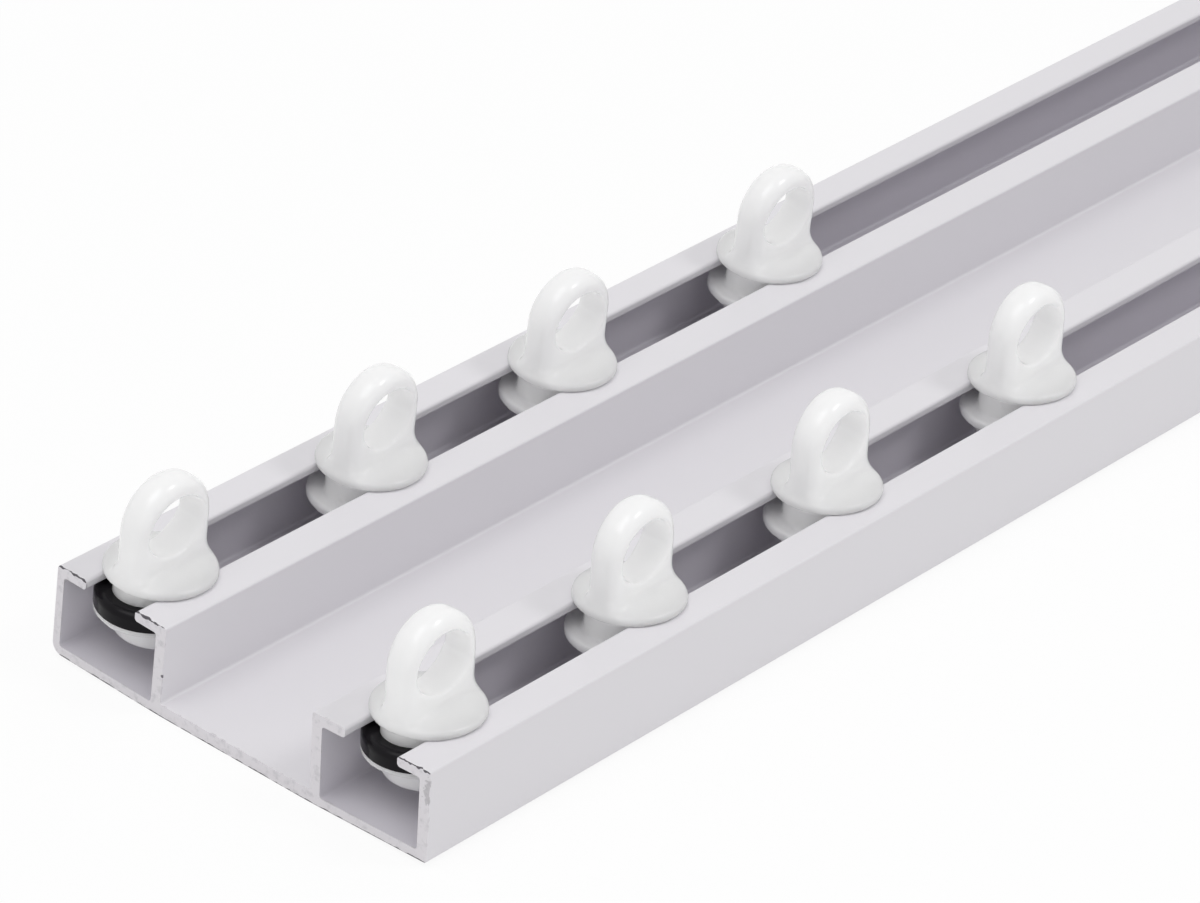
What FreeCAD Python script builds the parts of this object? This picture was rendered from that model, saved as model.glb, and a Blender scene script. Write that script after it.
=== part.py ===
"""Double curtain track: one extruded profile with two slotted channels, and eight sliding gliders.

Millimetres, +Z up. The track lies on its back, slots upwards, and runs along Y.
The origin is the middle of its back.
"""
import FreeCAD, Part
import math
import os

from FreeCAD import Vector

# Track profile
track_length = 300.0
web_width = 24.0
web_thickness = 1.6
channel_width = 18.0
channel_height = 12.2
channel_lean = 2.0
wall = 1.5
left_outer_wall = 1.1
floor_thickness = 1.2
lip_thickness = 1.35
slot_width = 8.0

# Corner radii of the profile
back_blend_radius = 60.0
left_outer_radius = 1.5
left_top_radius = 0.5
lip_nose_radius = 0.45
sharp_radius = 0.3
inner_radius = 0.4

# Glider above the lips
collar_radius = 6.9
collar_edge = 0.95
collar_rounding = 0.4
collar_rise = 2.0
collar_crown = 1.65
collar_crown_radius = 5.3
tab_width = 12.3
tab_thickness = 4.5
tab_shoulder = 7.2
tab_height = 13.3
tab_rounding = 1.7
foot_rise = 3.2
foot_reach_across = 1.0
foot_reach_along = 0.45
eye_width = 9.2
eye_floor = 5.5
eye_top = 11.1
eye_corner = 1.0

# Glider below the lips
neck_length = 12.6
flange_length = 16.4
flange_thickness = 1.2
flange_drop = 3.0
flange_rounding = 0.35
hub_radius = 5.3
hub_height = 3.4
hub_rounding = 0.6

# Grip ring on the first glider of each channel
ring_length = 16.4
ring_bevel = 0.9
ringed_flange_drop = 3.8
ringed_flange_thickness = 0.8

# Fits
seat_gap = 0.05
neck_clearance = 0.2
side_clearance = 0.3
lip_clearance = 0.25
ring_fit = 0.03
neck_width = slot_width - 2 * neck_clearance
flange_width = channel_width - 2 * wall - 2 * side_clearance

# Gliders of each channel: distance from the near end, and turn in the slot's play in degrees
glider_rows = {
    "left": (-1, ((8.3, 0.0), (44.8, 2.0), (80.1, 0.0), (120.9, 0.0))),
    "right": (1, ((9.7, 0.0), (45.0, 3.0), (82.0, 3.0), (121.1, 1.0))),
}


def in_channel(side, u, z):
    """Place a point of a leaning channel, given by u outwards from the web and z from the back."""
    lean = math.radians(channel_lean)
    x = web_width / 2 + u * math.cos(lean) - z * math.sin(lean)
    return Vector(side * x, 0, u * math.sin(lean) + z * math.cos(lean))


def rounded_outline(corners):
    """Closed wire through (point, radius) corners, each rounded by an arc of its own radius."""
    arcs = []
    for i, (corner, radius) in enumerate(corners):
        back = (corners[i - 1][0] - corner).normalize()
        ahead = (corners[(i + 1) % len(corners)][0] - corner).normalize()
        half = back.getAngle(ahead) / 2
        reach = radius / math.tan(half)
        middle = (back + ahead).normalize() * (radius / math.sin(half) - radius)
        arcs.append((corner + back * reach, corner + middle, corner + ahead * reach))
    edges = []
    for i, (start, middle, end) in enumerate(arcs):
        edges.append(Part.Arc(start, middle, end).toShape())
        edges.append(Part.LineSegment(end, arcs[(i + 1) % len(arcs)][0]).toShape())
    return Part.Wire(edges)


def channel_corners(side, outer_wall, outer_radius, top_radius):
    """Corners of one channel, from the back of the web outwards and round to the top of the web."""
    lip = (channel_width - slot_width) / 2
    outside = channel_width - wall + outer_wall
    lip_under = channel_height - lip_thickness
    points = [
        (0, 0, back_blend_radius),
        (outside, 0, outer_radius),
        (outside, channel_height, top_radius),
        (channel_width - lip, channel_height, lip_nose_radius),
        (channel_width - lip, lip_under, lip_nose_radius),
        (channel_width - wall, lip_under, inner_radius),
        (channel_width - wall, floor_thickness, inner_radius),
        (wall, floor_thickness, inner_radius),
        (wall, lip_under, inner_radius),
        (lip, lip_under, lip_nose_radius),
        (lip, channel_height, lip_nose_radius),
        (0, channel_height, sharp_radius),
        (0, web_thickness, inner_radius),
    ]
    return [(in_channel(side, u, z), radius) for u, z, radius in points]


def make_track():
    """Extruded profile: two leaning channels joined by a flat web, in one closed outline."""
    right = channel_corners(1, wall, sharp_radius, sharp_radius)
    left = channel_corners(-1, left_outer_wall, left_outer_radius, left_top_radius)
    outline = rounded_outline(right + left[::-1])
    outline.translate(Vector(0, -track_length / 2, 0))
    return Part.Face(outline).extrude(Vector(0, track_length, 0))


def ellipse(centre, first, second):
    """Face of an ellipse, given its centre and its two half-axes in either order of length."""
    if first.Length < second.Length:
        first, second = second, first
    return Part.Face(Part.Wire(Part.Ellipse(centre + first, centre + second, centre).toShape()))


def oval(width, length, z):
    """Elliptical face across the slot (X) by width and along it (Y) by length."""
    return ellipse(Vector(0, 0, z), Vector(width / 2, 0, 0), Vector(0, length / 2, 0))


def stadium(width, length, z):
    """Face with straight sides along Y and half-round ends."""
    radius = width / 2
    straight = length / 2 - radius
    right = Part.LineSegment(Vector(radius, -straight, z), Vector(radius, straight, z))
    end = Part.Arc(Vector(radius, straight, z), Vector(0, length / 2, z), Vector(-radius, straight, z))
    left = Part.LineSegment(Vector(-radius, straight, z), Vector(-radius, -straight, z))
    start = Part.Arc(Vector(-radius, -straight, z), Vector(0, -length / 2, z), Vector(radius, -straight, z))
    return Part.Face(Part.Wire([right.toShape(), end.toShape(), left.toShape(), start.toShape()]))


def prism(face, height):
    """Solid standing on a level face."""
    return face.extrude(Vector(0, 0, height))


def edges_at(shape, z):
    """Edges that lie whole at one height."""
    flat = []
    for edge in shape.Edges:
        box = edge.BoundBox
        if abs(box.ZMin - z) < 1e-4 and abs(box.ZMax - z) < 1e-4:
            flat.append(edge)
    return flat


def arched(width, floor, top, corner_radius=0):
    """Solid across the tab's thickness, with straight sides up to the shoulder and an elliptical top."""
    x = -tab_thickness / 2
    crown = ellipse(Vector(x, 0, tab_shoulder), Vector(0, width / 2, 0), Vector(0, 0, top - tab_shoulder))
    sides = Part.makeBox(tab_thickness, width, tab_shoulder - floor, Vector(x, -width / 2, floor))
    if corner_radius:
        corners = [edge for edge in edges_at(sides, floor) if edge.BoundBox.XLength > tab_thickness / 2]
        sides = sides.makeFillet(corner_radius, corners)
    return crown.extrude(Vector(tab_thickness, 0, 0)).fuse(sides).removeSplitter()


def make_tab():
    """Upright tab, its outer edges rounded."""
    tab = arched(tab_width, seat_gap, tab_height)
    rims = []
    for edge in tab.Edges:
        flat = edge.BoundBox.XLength < 1e-4
        if flat and edge.BoundBox.ZMax > 2 * seat_gap:
            rims.append(edge)
    return tab.makeFillet(tab_rounding, rims)


def make_collar():
    """Round collar that rides on the lips, crowned up to the foot of the tab."""
    rim = Vector(collar_radius, 0, seat_gap + collar_edge)
    crest = Vector(tab_thickness / 2, 0, collar_rise)
    shoulder = Vector(collar_crown_radius, 0, collar_crown)
    profile = Part.Wire([
        Part.LineSegment(Vector(0, 0, seat_gap), Vector(collar_radius, 0, seat_gap)).toShape(),
        Part.LineSegment(Vector(collar_radius, 0, seat_gap), rim).toShape(),
        Part.Arc(rim, shoulder, crest).toShape(),
        Part.LineSegment(crest, Vector(0, 0, collar_rise)).toShape(),
        Part.LineSegment(Vector(0, 0, collar_rise), Vector(0, 0, seat_gap)).toShape(),
    ])
    collar = Part.Face(profile).revolve(Vector(0, 0, 0), Vector(0, 0, 1), 360)
    return collar.makeFillet(collar_rounding, edges_at(collar, rim.z))


def make_foot():
    """Flared foot of the tab, lofted from a wide section inside the collar up to the tab's own section."""
    sections = []
    for share in (0, 0.5, 1):
        x = tab_thickness / 2 + foot_reach_across * (1 - share) ** 2
        y = tab_width / 2 + foot_reach_along * (1 - share) ** 2
        z = collar_edge + share * (foot_rise - collar_edge)
        corners = [(Vector(i * x, j * y, z), tab_rounding) for i, j in ((1, 1), (-1, 1), (-1, -1), (1, -1))]
        sections.append(rounded_outline(corners))
    return Part.makeLoft(sections, True, False)


def make_eye():
    """Arched opening right through the tab for a curtain hook, its lower corners rounded."""
    return arched(eye_width, eye_floor, eye_top, eye_corner)


def make_glider(drop, thickness):
    """Glider moulding, with its flange's top at the given depth below the lips' tops."""
    neck = prism(stadium(neck_width, neck_length, -drop), drop + seat_gap)
    flange = prism(oval(flange_width, flange_length, -drop - thickness), thickness)
    flange = flange.makeFillet(flange_rounding, edges_at(flange, -drop))
    hub = Part.makeCylinder(hub_radius, hub_height, Vector(0, 0, -drop - thickness - hub_height))
    hub = hub.makeFillet(hub_rounding, edges_at(hub, -drop - thickness - hub_height))
    body = make_collar().fuse([make_tab(), make_foot(), neck, flange, hub]).removeSplitter()
    return body.cut(make_eye())


def make_ring():
    """Oval grip ring round the neck, on the flange, with a rounded top."""
    base = -ringed_flange_drop
    ring_height = ringed_flange_drop - lip_thickness - lip_clearance
    ring = prism(oval(flange_width, ring_length, base), ring_height)
    ring = ring.makeFillet(ring_bevel, edges_at(ring, base + ring_height))
    hole = stadium(neck_width + 2 * ring_fit, neck_length + 2 * ring_fit, base)
    return ring.cut(prism(hole, ring_height))


def on_track(shape, side, distance, turn):
    """Turn a shape about its own upright axis, lean it with its channel and move it along the track."""
    placed = shape.copy()
    seat = in_channel(side, channel_width / 2, channel_height)
    seat.y = distance - track_length / 2
    lean = FreeCAD.Rotation(Vector(0, 1, 0), -side * channel_lean)
    placed.Placement = FreeCAD.Placement(seat, lean * FreeCAD.Rotation(Vector(0, 0, 1), turn))
    return placed


def make_parts():
    """All pieces by name."""
    parts = {"track_profile": make_track()}
    plain = make_glider(flange_drop, flange_thickness)
    ringed = make_glider(ringed_flange_drop, ringed_flange_thickness)
    ring = make_ring()
    for row, (side, places) in glider_rows.items():
        for number, (distance, turn) in enumerate(places, 1):
            glider = ringed if number == 1 else plain
            parts[f"{row}_glider_{number}"] = on_track(glider, side, distance, turn)
        parts[f"{row}_grip_ring"] = on_track(ring, side, *places[0])
    return parts


os.makedirs("parts", exist_ok=True)
for name, shape in make_parts().items():
    shape.exportStep(f"parts/{name}.step")
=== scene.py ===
"""Looks of the double curtain track: powder-coated extrusion, nylon gliders and rubber rings.

Metres, +Z up. The track lies on its back along Y in a white studio, with its near end, which the
camera sees, at the lowest Y.
"""
from __future__ import annotations

import logging
import math
from abc import ABC, abstractmethod
from dataclasses import dataclass
from enum import Enum

import bmesh
import bpy
from mathutils import Euler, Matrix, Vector


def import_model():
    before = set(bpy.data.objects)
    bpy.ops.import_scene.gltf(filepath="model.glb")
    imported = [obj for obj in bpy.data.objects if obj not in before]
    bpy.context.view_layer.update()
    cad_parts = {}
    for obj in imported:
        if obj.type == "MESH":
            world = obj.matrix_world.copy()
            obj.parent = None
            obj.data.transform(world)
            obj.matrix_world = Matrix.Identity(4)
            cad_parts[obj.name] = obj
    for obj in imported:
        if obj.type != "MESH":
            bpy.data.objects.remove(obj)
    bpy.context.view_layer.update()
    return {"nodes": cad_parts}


MM = 0.001
WHITE = (1.0, 1.0, 1.0, 1.0)

# Sockets of the Mix node that blends colours. It has others of the same names for numbers and vectors.
MIX_SHARE = 0
MIX_FIRST = 6
MIX_SECOND = 7
MIXED = 2

log = logging.getLogger("curtain_track")


class Row(Enum):
    """The two channels of the track, by the side of the web that they are on."""

    LEFT = "left"
    RIGHT = "right"


class Detail(Enum):
    """How much finer detail a noise pattern carries inside its grains."""

    SMOOTH = 1.0
    SOFT = 2.0
    RAGGED = 3.0
    TORN = 4.0


def linear_colour(code: str) -> tuple[float, float, float, float]:
    """Turns an sRGB hex colour into linear RGBA.

    Args:
        code: six hex digits after a hash sign.

    Returns:
        Red, green, blue and an alpha of 1.
    """
    shares = [int(code[i:i + 2], 16) / 255 for i in (1, 3, 5)]
    return (*[s / 12.92 if s <= 0.04045 else ((s + 0.055) / 1.055) ** 2.4 for s in shares], 1.0)


def add_node(
    tree: bpy.types.NodeTree,
    kind: str,
    settings: dict[str, object] | None = None,
    inputs: dict[str | int, object] | None = None,
) -> bpy.types.Node:
    """Adds a node with its settings and links.

    Args:
        tree: node tree that gets the node.
        kind: Blender's own name of the node's kind.
        settings: properties of the node by name.
        inputs: a value, or a socket to link from, for each input by name or place.

    Returns:
        The new node.
    """
    node = tree.nodes.new(kind)
    for name, value in (settings or {}).items():
        setattr(node, name, value)
    for key, value in (inputs or {}).items():
        if isinstance(value, bpy.types.NodeSocket):
            tree.links.new(value, node.inputs[key])
        else:
            node.inputs[key].default_value = value
    return node


class Finish(ABC):
    """A material of the object: its common name, and how its surface was made."""

    name: str

    @abstractmethod
    def lay(self, tree: bpy.types.NodeTree) -> bpy.types.NodeSocket:
        """Lays out the nodes of the finish and returns its shader output."""

    def material(self) -> bpy.types.Material:
        """Makes the material, or finds it if it is made already.

        Returns:
            The material.
        """
        found = bpy.data.materials.get(self.name)
        if found:
            return found
        made = bpy.data.materials.new(self.name)
        made.use_nodes = True
        tree = made.node_tree
        tree.nodes.clear()
        add_node(tree, "ShaderNodeOutputMaterial", inputs={"Surface": self.lay(tree)})
        return made

    def dress(self, piece: bpy.types.Object) -> None:
        """Puts the finish on all of a piece.

        Args:
            piece: mesh object, which gets this one material.
        """
        made = self.material()
        if not piece.material_slots:
            piece.data.materials.append(made)
        for slot in piece.material_slots:
            slot.material = made


@dataclass(frozen=True)
class Scar:
    """A mark that the saw left on the cut: its middle, how far it reaches each way, and how dark it is."""

    place: tuple[float, float, float]
    reach: tuple[float, float, float]
    darkness: float

    def lay(
        self,
        tree: bpy.types.NodeTree,
        place: bpy.types.NodeSocket,
        edge: bpy.types.NodeSocket,
    ) -> bpy.types.NodeSocket:
        """Marks the scar, out to a ragged edge.

        Args:
            tree: node tree that gets the nodes.
            place: object coordinates.
            edge: ragged share of the reach at which the scar ends.

        Returns:
            The scar's darkness on it, and 0 beside it.
        """
        offset = add_node(tree, "ShaderNodeVectorMath", {"operation": "SUBTRACT"}, {
            0: place, 1: self.place,
        }).outputs[0]
        spread = add_node(tree, "ShaderNodeVectorMath", {"operation": "DIVIDE"}, {
            0: offset, 1: self.reach,
        }).outputs[0]
        distance = add_node(tree, "ShaderNodeVectorMath", {"operation": "LENGTH"}, {
            0: spread,
        }).outputs["Value"]
        inside = add_node(tree, "ShaderNodeMath", {"operation": "LESS_THAN"}, {
            0: distance, 1: edge,
        }).outputs[0]
        return add_node(tree, "ShaderNodeMath", {"operation": "MULTIPLY"}, {
            0: inside, 1: self.darkness,
        }).outputs[0]


@dataclass(frozen=True)
class PowderCoatedAluminium(Finish):
    """Extruded aluminium, powder coated in white and then sawn.

    Satin paint with soft wide highlights outside, and rougher bare metal on the sawn ends.
    """

    name: str = "white_powder_coated_aluminium"
    coat: str = "#E2E0E4"
    # Greyer coat colour painted inside the channels as their shade.
    painted_channel_shade: str = "#D6D3DA"
    metal: str = "#DFDCE0"
    chip: str = "#C9C7CB"
    # Dark colour of the torn lip burr, also painted along the foot of the cut as its shadow.
    burr_and_foot_shadow: str = "#57545A"
    satin: float = 0.42
    sawn: float = 0.5
    metal_share: float = 0.35
    refraction: float = 1.5
    relief: float = 0.04 * MM
    relief_strength: float = 0.25
    half_length: float = 150 * MM
    web_half: float = 12 * MM
    channel_height: float = 12.2 * MM
    channel_lean: float = 2.0
    channel_centre: float = 20.8 * MM
    channel_half: float = 8.1 * MM
    # Height band of the painted shade inside the channels.
    inside_low: float = 0.95 * MM
    inside_high: float = 10.9 * MM
    orange_peel: float = 0.9 * MM
    cut_facing: float = 0.7
    chip_grain: float = 0.9 * MM
    chip_reach: float = 0.35 * MM
    chip_onset: tuple[float, float] = (0.45, 0.75)
    torn_onset: tuple[float, float] = (0.5, 0.75)
    torn_roughness: float = 0.6
    saw_pitch: float = 0.35 * MM
    saw_stretch: float = 0.08
    burr_and_shadow_grain: float = 1.4 * MM
    lip_onset: tuple[float, float] = (0.4, 0.6)
    # The ragged foot line is painted shadow under the bottom edge of the cut, not a burr.
    foot_shadow_onset: tuple[float, float] = (0.35, 0.6)
    lip_burr: float = 0.32 * MM
    # Reach of the painted foot shadow up the cut.
    foot_shadow_reach: float = 0.16 * MM
    clean_lip_centre: float = 14.0 * MM
    clean_lip_half: float = 3.0 * MM
    scar_grain: float = 0.35 * MM
    scar_edge: float = 2.0
    scars: tuple[Scar, ...] = (
        Scar((-11.85 * MM, -150 * MM, 5.5 * MM), (0.2 * MM, 0.4 * MM, 0.2 * MM), 0.9),
        Scar((29.7 * MM, -150 * MM, 9.9 * MM), (0.9 * MM, 1.0 * MM, 1.6 * MM), 0.3),
    )

    def lay(self, tree: bpy.types.NodeTree) -> bpy.types.NodeSocket:
        """Lays out the coat, a painted shade inside the channels, and the bare sawn ends.

        Args:
            tree: the material's node tree.

        Returns:
            The shader output.
        """
        place = add_node(tree, "ShaderNodeTexCoord").outputs["Object"]
        axes = add_node(tree, "ShaderNodeSeparateXYZ", inputs={0: place})
        bare = self.bare_metal(tree, place, axes)
        inside = self.inside_channel(tree, axes)
        # Inside the channels the coat is painted greyer: painted shade of the channel interiors.
        coat = add_node(tree, "ShaderNodeMix", {"data_type": "RGBA"}, {
            MIX_SHARE: inside,
            MIX_FIRST: linear_colour(self.coat),
            MIX_SECOND: linear_colour(self.painted_channel_shade),
        }).outputs[MIXED]
        metal = self.sawn_metal(tree, place, self.burrs_and_foot_shadow(tree, place, axes))
        colour = add_node(tree, "ShaderNodeMix", {"data_type": "RGBA"}, {
            MIX_SHARE: bare, MIX_FIRST: coat, MIX_SECOND: metal,
        }).outputs[MIXED]
        # Satin paint gives soft wide highlights. The sawn metal is rougher, and only partly bright.
        roughness = add_node(tree, "ShaderNodeMapRange", inputs={
            "Value": bare, "To Min": self.satin, "To Max": self.sawn,
        }).outputs[0]
        metallic = add_node(tree, "ShaderNodeMath", {"operation": "MULTIPLY"}, {
            0: bare, 1: self.metal_share,
        }).outputs[0]
        return add_node(tree, "ShaderNodeBsdfPrincipled", inputs={
            "Base Color": colour,
            "Metallic": metallic,
            "Roughness": roughness,
            "Normal": self.relieved(tree, place, bare),
            "IOR": self.refraction,
        }).outputs[0]

    def relieved(
        self,
        tree: bpy.types.NodeTree,
        place: bpy.types.NodeSocket,
        bare: bpy.types.NodeSocket,
    ) -> bpy.types.NodeSocket:
        """Gives the coat its orange peel, and the sawn ends their saw marks.

        Args:
            tree: the material's node tree.
            place: object coordinates.
            bare: mask of the bare metal.

        Returns:
            The bumped normal.
        """
        # Orange peel is the fine waviness of a baked powder coat. The real one is about 0.5 mm wide, and
        # it is drawn coarser to show.
        peel = add_node(tree, "ShaderNodeTexNoise", inputs={
            "Vector": place, "Scale": 1 / self.orange_peel, "Detail": Detail.SMOOTH.value,
        }).outputs[0]
        # The saw's marks run across the track, stretched along the blade's path.
        blade = add_node(tree, "ShaderNodeVectorMath", {"operation": "MULTIPLY"}, {
            0: place, 1: (self.saw_stretch / self.saw_pitch, 1.0, 1 / self.saw_pitch),
        }).outputs[0]
        saw = add_node(tree, "ShaderNodeTexNoise", inputs={
            "Vector": blade, "Scale": 1.0, "Detail": Detail.RAGGED.value,
        }).outputs[0]
        height = add_node(tree, "ShaderNodeMix", inputs={0: bare, 2: peel, 3: saw}).outputs[0]
        return add_node(tree, "ShaderNodeBump", inputs={
            "Height": height, "Strength": self.relief_strength, "Distance": self.relief,
        }).outputs[0]

    def bare_metal(
        self,
        tree: bpy.types.NodeTree,
        place: bpy.types.NodeSocket,
        axes: bpy.types.Node,
    ) -> bpy.types.NodeSocket:
        """Marks the sawn end faces, and the ragged edge where the saw chipped the coat beside them.

        Args:
            tree: the material's node tree.
            place: object coordinates.
            axes: the same, separated.

        Returns:
            A mask of 1 on bare metal.
        """
        normal = add_node(tree, "ShaderNodeNewGeometry").outputs["True Normal"]
        facing = add_node(tree, "ShaderNodeSeparateXYZ", inputs={0: normal}).outputs[1]
        along = add_node(tree, "ShaderNodeMath", {"operation": "ABSOLUTE"}, {0: facing}).outputs[0]
        cut = add_node(tree, "ShaderNodeMath", {"operation": "GREATER_THAN"}, {
            0: along, 1: self.cut_facing,
        }).outputs[0]
        from_middle = add_node(tree, "ShaderNodeMath", {"operation": "ABSOLUTE"}, {
            0: axes.outputs[1],
        }).outputs[0]
        from_cut = add_node(tree, "ShaderNodeMath", {"operation": "SUBTRACT"}, {
            0: self.half_length, 1: from_middle,
        }).outputs[0]
        grain = add_node(tree, "ShaderNodeTexNoise", inputs={
            "Vector": place, "Scale": 1 / self.chip_grain, "Detail": Detail.RAGGED.value,
        }).outputs[0]
        onset, full = self.chip_onset
        reach = add_node(tree, "ShaderNodeMapRange", inputs={
            "Value": grain, "From Min": onset, "From Max": full, "To Max": self.chip_reach,
        }).outputs[0]
        chipped = add_node(tree, "ShaderNodeMath", {"operation": "LESS_THAN"}, {
            0: from_cut, 1: reach,
        }).outputs[0]
        return add_node(tree, "ShaderNodeMath", {"operation": "MAXIMUM"}, {0: cut, 1: chipped}).outputs[0]

    def inside_channel(self, tree: bpy.types.NodeTree, axes: bpy.types.Node) -> bpy.types.NodeSocket:
        """Marks the inside of the channels, where the coat is painted greyer and darker as their shade.

        Args:
            tree: the material's node tree.
            axes: separated object coordinates.

        Returns:
            A mask of 1 inside a channel.
        """
        across = add_node(tree, "ShaderNodeMath", {"operation": "ABSOLUTE"}, {
            0: axes.outputs[0],
        }).outputs[0]
        beside = add_node(tree, "ShaderNodeMath", {"operation": "COMPARE"}, {
            0: across, 1: self.channel_centre, 2: self.channel_half,
        }).outputs[0]
        level = add_node(tree, "ShaderNodeMath", {"operation": "COMPARE"}, {
            0: axes.outputs[2],
            1: (self.inside_low + self.inside_high) / 2,
            2: (self.inside_high - self.inside_low) / 2,
        }).outputs[0]
        return add_node(tree, "ShaderNodeMath", {"operation": "MULTIPLY"}, {0: beside, 1: level}).outputs[0]

    def burrs_and_foot_shadow(
        self,
        tree: bpy.types.NodeTree,
        place: bpy.types.NodeSocket,
        axes: bpy.types.Node,
    ) -> bpy.types.NodeSocket:
        """Marks the dark torn burr on the lips, the painted shadow along the foot of the cut, and the saw's
        scars.

        Args:
            tree: the material's node tree.
            place: object coordinates.
            axes: the same, separated.

        Returns:
            A mask of 1 on burrs and in the painted foot shadow, and of each scar's own darkness on it.
        """
        # Height above the channels' leaning floors, by which the lip burr and the painted foot shadow are
        # placed.
        across = add_node(tree, "ShaderNodeMath", {"operation": "ABSOLUTE"}, {
            0: axes.outputs[0],
        }).outputs[0]
        beside_web = add_node(tree, "ShaderNodeMath", {"operation": "SUBTRACT"}, {
            0: across, 1: self.web_half,
        }).outputs[0]
        in_channel = add_node(tree, "ShaderNodeMath", {"operation": "MAXIMUM"}, {
            0: beside_web, 1: 0.0,
        }).outputs[0]
        tilt = add_node(tree, "ShaderNodeMath", {"operation": "MULTIPLY"}, {
            0: in_channel, 1: math.sin(math.radians(self.channel_lean)),
        }).outputs[0]
        height = add_node(tree, "ShaderNodeMath", {"operation": "SUBTRACT"}, {
            0: axes.outputs[2], 1: tilt,
        }).outputs[0]
        ragged = add_node(tree, "ShaderNodeTexNoise", inputs={
            "Vector": place, "Scale": 1 / self.burr_and_shadow_grain, "Detail": Detail.RAGGED.value,
        }).outputs[0]
        onset, full = self.lip_onset
        lip_line = add_node(tree, "ShaderNodeMapRange", inputs={
            "Value": ragged, "From Min": onset, "From Max": full,
            "To Min": self.channel_height, "To Max": self.channel_height - self.lip_burr,
        }).outputs[0]
        # Along the foot of the cut a thin dark line is painted in the burr's colour: the shadow of the
        # bottom edge.
        onset, full = self.foot_shadow_onset
        foot_shadow_line = add_node(tree, "ShaderNodeMapRange", inputs={
            "Value": ragged, "From Min": onset, "From Max": full, "To Max": self.foot_shadow_reach,
        }).outputs[0]
        on_lip = add_node(tree, "ShaderNodeMath", {"operation": "GREATER_THAN"}, {
            0: height, 1: lip_line,
        }).outputs[0]
        # The saw left the inner lip of the right channel clean.
        clean = add_node(tree, "ShaderNodeMath", {"operation": "COMPARE"}, {
            0: axes.outputs[0], 1: self.clean_lip_centre, 2: self.clean_lip_half,
        }).outputs[0]
        torn_lip = add_node(tree, "ShaderNodeMath", {"operation": "SUBTRACT"}, {
            0: on_lip, 1: clean,
        }).outputs[0]
        in_foot_shadow = add_node(tree, "ShaderNodeMath", {"operation": "LESS_THAN"}, {
            0: height, 1: foot_shadow_line,
        }).outputs[0]
        mask = add_node(tree, "ShaderNodeMath", {"operation": "MAXIMUM"}, {
            0: torn_lip, 1: in_foot_shadow,
        }).outputs[0]
        torn = add_node(tree, "ShaderNodeTexNoise", inputs={
            "Vector": place, "Scale": 1 / self.scar_grain, "Detail": Detail.SOFT.value,
        }).outputs[0]
        edge = add_node(tree, "ShaderNodeMath", {"operation": "MULTIPLY"}, {
            0: torn, 1: self.scar_edge,
        }).outputs[0]
        for scar in self.scars:
            dark = scar.lay(tree, place, edge)
            mask = add_node(tree, "ShaderNodeMath", {"operation": "MAXIMUM"}, {0: mask, 1: dark}).outputs[0]
        return mask

    def sawn_metal(
        self,
        tree: bpy.types.NodeTree,
        place: bpy.types.NodeSocket,
        burrs_and_foot_shadow: bpy.types.NodeSocket,
    ) -> bpy.types.NodeSocket:
        """Colours the sawn metal: pale, mottled by torn grains, dark on its burrs and in the painted shadow
        along its foot.

        Args:
            tree: the material's node tree.
            place: object coordinates.
            burrs_and_foot_shadow: mask of the burrs and of the painted foot shadow.

        Returns:
            The colour.
        """
        grain = add_node(tree, "ShaderNodeTexNoise", inputs={
            "Vector": place, "Scale": 1 / self.chip_grain,
            "Detail": Detail.TORN.value, "Roughness": self.torn_roughness,
        }).outputs[0]
        onset, full = self.torn_onset
        torn = add_node(tree, "ShaderNodeMapRange", inputs={
            "Value": grain, "From Min": onset, "From Max": full,
        }).outputs[0]
        face = add_node(tree, "ShaderNodeMix", {"data_type": "RGBA"}, {
            MIX_SHARE: torn,
            MIX_FIRST: linear_colour(self.metal),
            MIX_SECOND: linear_colour(self.chip),
        }).outputs[MIXED]
        # Burrs, and the painted shadow along the foot, darken the sawn metal.
        return add_node(tree, "ShaderNodeMix", {"data_type": "RGBA"}, {
            MIX_SHARE: burrs_and_foot_shadow, MIX_FIRST: face, MIX_SECOND: linear_colour(self.burr_and_foot_shadow),
        }).outputs[MIXED]


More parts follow.
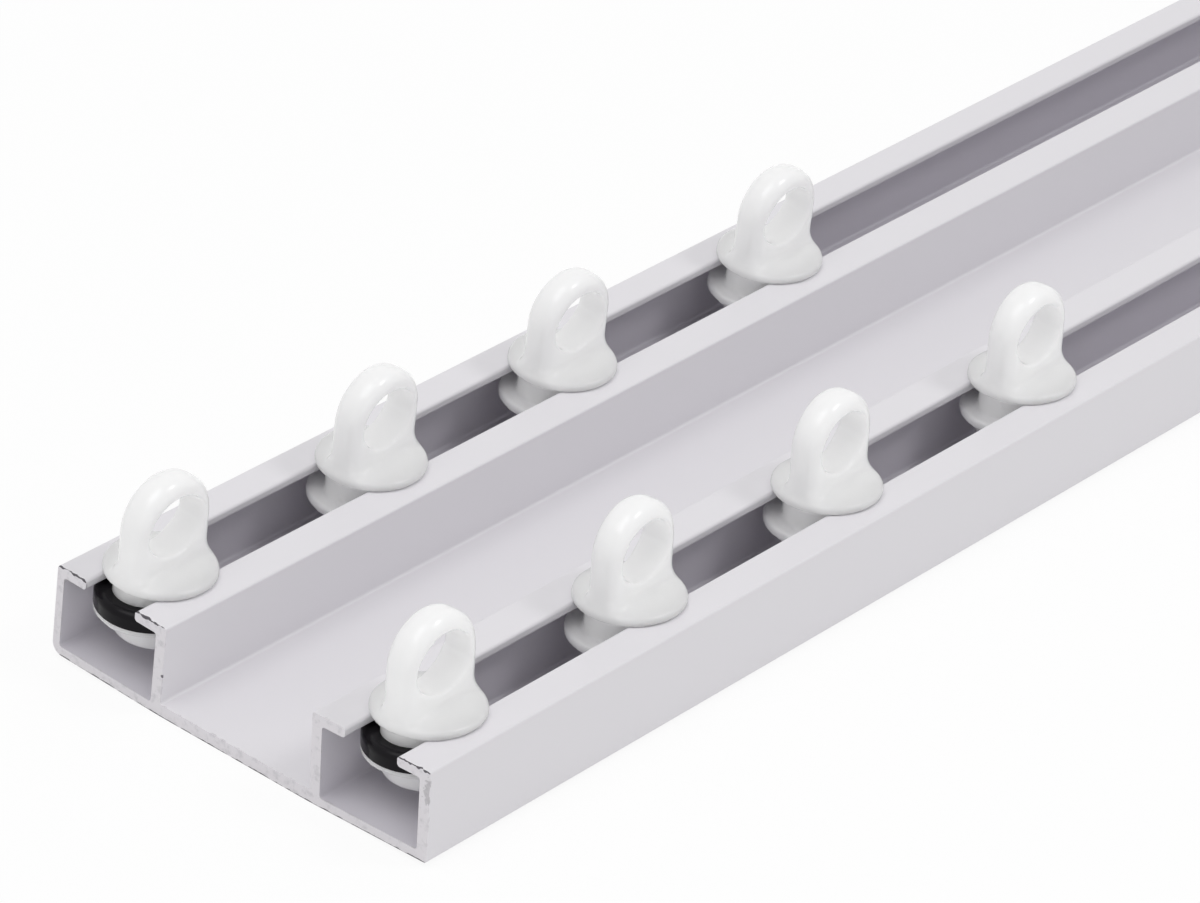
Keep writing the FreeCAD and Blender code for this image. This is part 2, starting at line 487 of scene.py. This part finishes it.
@dataclass(frozen=True)
class MouldedNylon(Finish):
    """Natural nylon, injection moulded.

    Milky, because light scatters deep inside it, with a soft wet-looking gloss.
    """

    name: str = "natural_moulded_nylon"
    body: str = "#FFFFFE"
    cloud: str = "#FCFCFC"
    depth: float = 6.0 * MM
    cloud_size: float = 5.0 * MM
    skin_grain: float = 0.6 * MM
    skin_relief: float = 0.03 * MM
    skin_strength: float = 0.2
    gloss: tuple[float, float] = (0.16, 0.24)
    refraction: float = 1.53

    def lay(self, tree: bpy.types.NodeTree) -> bpy.types.NodeSocket:
        """Lays out the milky body and its moulded skin.

        Args:
            tree: the material's node tree.

        Returns:
            The shader output.
        """
        place = add_node(tree, "ShaderNodeTexCoord").outputs["Object"]
        cloud = add_node(tree, "ShaderNodeTexNoise", inputs={
            "Vector": place, "Scale": 1 / self.cloud_size, "Detail": Detail.SOFT.value,
        }).outputs[0]
        colour = add_node(tree, "ShaderNodeMix", {"data_type": "RGBA"}, {
            MIX_SHARE: cloud,
            MIX_FIRST: linear_colour(self.body),
            MIX_SECOND: linear_colour(self.cloud),
        }).outputs[MIXED]
        # The skin of a moulding is smooth but not flat: faint ripples that soften the highlights.
        skin = add_node(tree, "ShaderNodeTexNoise", inputs={
            "Vector": place, "Scale": 1 / self.skin_grain, "Detail": Detail.SOFT.value,
        }).outputs[0]
        bump = add_node(tree, "ShaderNodeBump", inputs={
            "Height": skin, "Strength": self.skin_strength, "Distance": self.skin_relief,
        }).outputs[0]
        smoothest, dullest = self.gloss
        roughness = add_node(tree, "ShaderNodeMapRange", inputs={
            "Value": cloud, "To Min": smoothest, "To Max": dullest,
        }).outputs[0]
        return add_node(tree, "ShaderNodeBsdfPrincipled", inputs={
            "Base Color": colour,
            "Roughness": roughness,
            "Normal": bump,
            "IOR": self.refraction,
            "Subsurface Weight": 1.0,
            "Subsurface Radius": (1.0, 1.0, 1.0),
            "Subsurface Scale": self.depth,
        }).outputs[0]


@dataclass(frozen=True)
class GlossyRubber(Finish):
    """Black rubber moulded in a polished tool: near black with a clear highlight."""

    name: str = "black_moulded_rubber"
    body: str = "#060407"
    bloom: str = "#0C090F"
    grain: float = 0.5 * MM
    relief: float = 0.03 * MM
    relief_strength: float = 0.2
    gloss: tuple[float, float] = (0.16, 0.26)
    refraction: float = 1.45
    shine: float = 0.18

    def lay(self, tree: bpy.types.NodeTree) -> bpy.types.NodeSocket:
        """Lays out the black body and its fine skin.

        Args:
            tree: the material's node tree.

        Returns:
            The shader output.
        """
        place = add_node(tree, "ShaderNodeTexCoord").outputs["Object"]
        grain = add_node(tree, "ShaderNodeTexNoise", inputs={
            "Vector": place, "Scale": 1 / self.grain, "Detail": Detail.RAGGED.value,
        }).outputs[0]
        colour = add_node(tree, "ShaderNodeMix", {"data_type": "RGBA"}, {
            MIX_SHARE: grain,
            MIX_FIRST: linear_colour(self.body),
            MIX_SECOND: linear_colour(self.bloom),
        }).outputs[MIXED]
        # A faint bloom on the skin breaks the reflections up a little.
        bump = add_node(tree, "ShaderNodeBump", inputs={
            "Height": grain, "Strength": self.relief_strength, "Distance": self.relief,
        }).outputs[0]
        smoothest, dullest = self.gloss
        roughness = add_node(tree, "ShaderNodeMapRange", inputs={
            "Value": grain, "To Min": smoothest, "To Max": dullest,
        }).outputs[0]
        return add_node(tree, "ShaderNodeBsdfPrincipled", inputs={
            "Base Color": colour,
            "Roughness": roughness,
            "Normal": bump,
            "IOR": self.refraction,
            "Specular IOR Level": self.shine,
        }).outputs[0]


def seen_directly(tree: bpy.types.NodeTree) -> bpy.types.NodeSocket:
    """Marks what the camera sees, also in a reflection or through glass.

    Args:
        tree: node tree that gets the nodes.

    Returns:
        A mask of 1 for such rays.
    """
    path = add_node(tree, "ShaderNodeLightPath")
    mirrored = add_node(tree, "ShaderNodeMath", {"operation": "MAXIMUM"}, {
        0: path.outputs["Is Glossy Ray"], 1: path.outputs["Is Transmission Ray"],
    }).outputs[0]
    return add_node(tree, "ShaderNodeMath", {"operation": "MAXIMUM"}, {
        0: path.outputs["Is Camera Ray"], 1: mirrored,
    }).outputs[0]


@dataclass(frozen=True)
class StudioPaper(Finish):
    """Matt white paper that the object lies on. It keeps the object's shadow and shows white beside it."""

    name: str = "studio_paper"
    paper: str = "#F8F8F8"
    shine_through: float = 0.9
    fibres_per_metre: float = 900.0
    relief: float = 0.05 * MM
    relief_strength: float = 0.1

    def lay(self, tree: bpy.types.NodeTree) -> bpy.types.NodeSocket:
        """Lays out the paper, with a white glow that only the camera and reflections see.

        Args:
            tree: the material's node tree.

        Returns:
            The shader output.
        """
        place = add_node(tree, "ShaderNodeTexCoord").outputs["Object"]
        fibre = add_node(tree, "ShaderNodeTexNoise", inputs={
            "Vector": place, "Scale": self.fibres_per_metre, "Detail": Detail.SOFT.value,
        }).outputs[0]
        bump = add_node(tree, "ShaderNodeBump", inputs={
            "Height": fibre, "Strength": self.relief_strength, "Distance": self.relief,
        }).outputs[0]
        paper = add_node(tree, "ShaderNodeBsdfDiffuse", inputs={
            "Color": linear_colour(self.paper), "Normal": bump,
        }).outputs[0]
        glow = add_node(tree, "ShaderNodeEmission", inputs={"Color": WHITE, "Strength": 1.0}).outputs[0]
        share = add_node(tree, "ShaderNodeMath", {"operation": "MULTIPLY"}, {
            0: seen_directly(tree), 1: self.shine_through,
        }).outputs[0]
        return add_node(tree, "ShaderNodeMixShader", inputs={0: share, 1: paper, 2: glow}).outputs[0]


@dataclass
class TrackProfile:
    """The extruded profile with its two channels."""

    node: str = "track_profile"
    finish: Finish = PowderCoatedAluminium()

    def build(self, nodes: dict[str, bpy.types.Object]) -> list[bpy.types.Object]:
        """Dresses the extrusion.

        Args:
            nodes: the frame's pieces by name.

        Returns:
            The pieces of this sub-assembly.
        """
        profile = nodes[self.node]
        self.finish.dress(profile)
        return [profile]


@dataclass
class GliderRow:
    """The gliders of one channel, with the rubber ring on the first."""

    row: Row
    count: int = 4
    moulding: Finish = MouldedNylon()
    rubber: Finish = GlossyRubber()
    skin_step: float = 0.22 * MM
    softening: int = 10
    softening_share: float = 0.5

    def soften(self, glider: bpy.types.Object) -> None:
        """Melts the creases of a moulding a little, as the tool's rounded corners do.

        Args:
            glider: the glider, which keeps its mesh.
        """
        skin = glider.modifiers.new("moulded_skin", "REMESH")
        skin.mode = "VOXEL"
        skin.voxel_size = self.skin_step
        skin.use_smooth_shade = True
        melt = glider.modifiers.new("soft_corners", "SMOOTH")
        melt.factor = self.softening_share
        melt.iterations = self.softening

    def build(self, nodes: dict[str, bpy.types.Object]) -> list[bpy.types.Object]:
        """Dresses the gliders and the ring of the row.

        Args:
            nodes: the frame's pieces by name.

        Returns:
            The pieces of this sub-assembly.
        """
        gliders = [nodes[f"{self.row.value}_glider_{number}"] for number in range(1, self.count + 1)]
        for glider in gliders:
            self.soften(glider)
            self.moulding.dress(glider)
        ring = nodes[f"{self.row.value}_grip_ring"]
        self.rubber.dress(ring)
        return [*gliders, ring]


@dataclass(frozen=True)
class Softbox:
    """A square soft lamp."""

    name: str
    place: tuple[float, float, float]
    size: float
    power: float

    def hang(self, aim: Vector) -> None:
        """Hangs the lamp.

        Args:
            aim: point that it faces.
        """
        data = bpy.data.lights.new(self.name, "AREA")
        data.shape = "SQUARE"
        data.size = self.size
        data.energy = self.power
        lamp = bpy.data.objects.new(self.name, data)
        lamp.location = self.place
        lamp.rotation_euler = (aim - Vector(self.place)).to_track_quat("-Z", "Y").to_euler()
        bpy.context.scene.collection.objects.link(lamp)


@dataclass
class Studio:
    """Floor, lamps, white surroundings and camera."""

    floor_half: float = 3.0
    floor_level: float = -0.02 * MM
    sky: float = 0.64
    lamps: tuple[Softbox, ...] = (
        Softbox("key", (-0.05, -0.5, 1.1), 0.8, 3.4),
        Softbox("back", (0.54, 0.29, 0.87), 0.25, 1.7),
    )
    aim: tuple[float, float, float] = (0.0, -0.08, 0.01)
    lens: float = 190.8
    sensor: float = 36.0
    clip: tuple[float, float] = (0.05, 20.0)
    camera_place: tuple[float, float, float] = (0.406368, -0.606927, 0.411468)
    camera_turn: tuple[float, float, float] = (58.9574, -4.6091, 40.7747)

    def build(self) -> None:
        """Sets up the whole studio."""
        self.lay_floor()
        for lamp in self.lamps:
            lamp.hang(Vector(self.aim))
        self.light_surroundings()
        self.set_camera()

    def lay_floor(self) -> None:
        """Lays the paper floor under the object."""
        sheet = bmesh.new()
        bmesh.ops.create_grid(sheet, x_segments=1, y_segments=1, size=self.floor_half)
        bmesh.ops.translate(sheet, vec=(0.0, 0.0, self.floor_level), verts=sheet.verts)
        mesh = bpy.data.meshes.new("studio_floor")
        sheet.to_mesh(mesh)
        sheet.free()
        floor = bpy.data.objects.new("studio_floor", mesh)
        bpy.context.scene.collection.objects.link(floor)
        StudioPaper().dress(floor)

    def light_surroundings(self) -> None:
        """Makes the world an even white, dimmer as a light than it looks."""
        world = bpy.data.worlds.new("white_studio")
        world.use_nodes = True
        tree = world.node_tree
        tree.nodes.clear()
        strength = add_node(tree, "ShaderNodeMapRange", inputs={
            "Value": seen_directly(tree), "To Min": self.sky, "To Max": 1.0,
        }).outputs[0]
        white = add_node(tree, "ShaderNodeBackground", inputs={"Color": WHITE, "Strength": strength})
        add_node(tree, "ShaderNodeOutputWorld", inputs={"Surface": white.outputs[0]})
        bpy.context.scene.world = world

    def set_camera(self) -> None:
        """Places the camera where the photograph was taken from."""
        data = bpy.data.cameras.new("camera")
        data.sensor_fit = "HORIZONTAL"
        data.sensor_width = self.sensor
        data.lens = self.lens
        data.clip_start, data.clip_end = self.clip
        camera = bpy.data.objects.new("camera", data)
        camera.location = self.camera_place
        camera.rotation_euler = Euler([math.radians(angle) for angle in self.camera_turn], "XYZ")
        bpy.context.scene.collection.objects.link(camera)
        bpy.context.scene.camera = camera


def main() -> None:
    """Loads the frame, dresses every piece and sets up the studio."""
    logging.basicConfig(level=logging.INFO, format="%(message)s")
    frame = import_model()
    for assembly in (TrackProfile(), GliderRow(Row.LEFT), GliderRow(Row.RIGHT)):
        for piece in assembly.build(frame["nodes"]):
            log.info("%s: %s, %d faces", type(assembly).__name__, piece.name, len(piece.data.polygons))
    Studio().build()
    bpy.context.scene.view_settings.view_transform = "Standard"


if __name__ == "__main__":
    main()
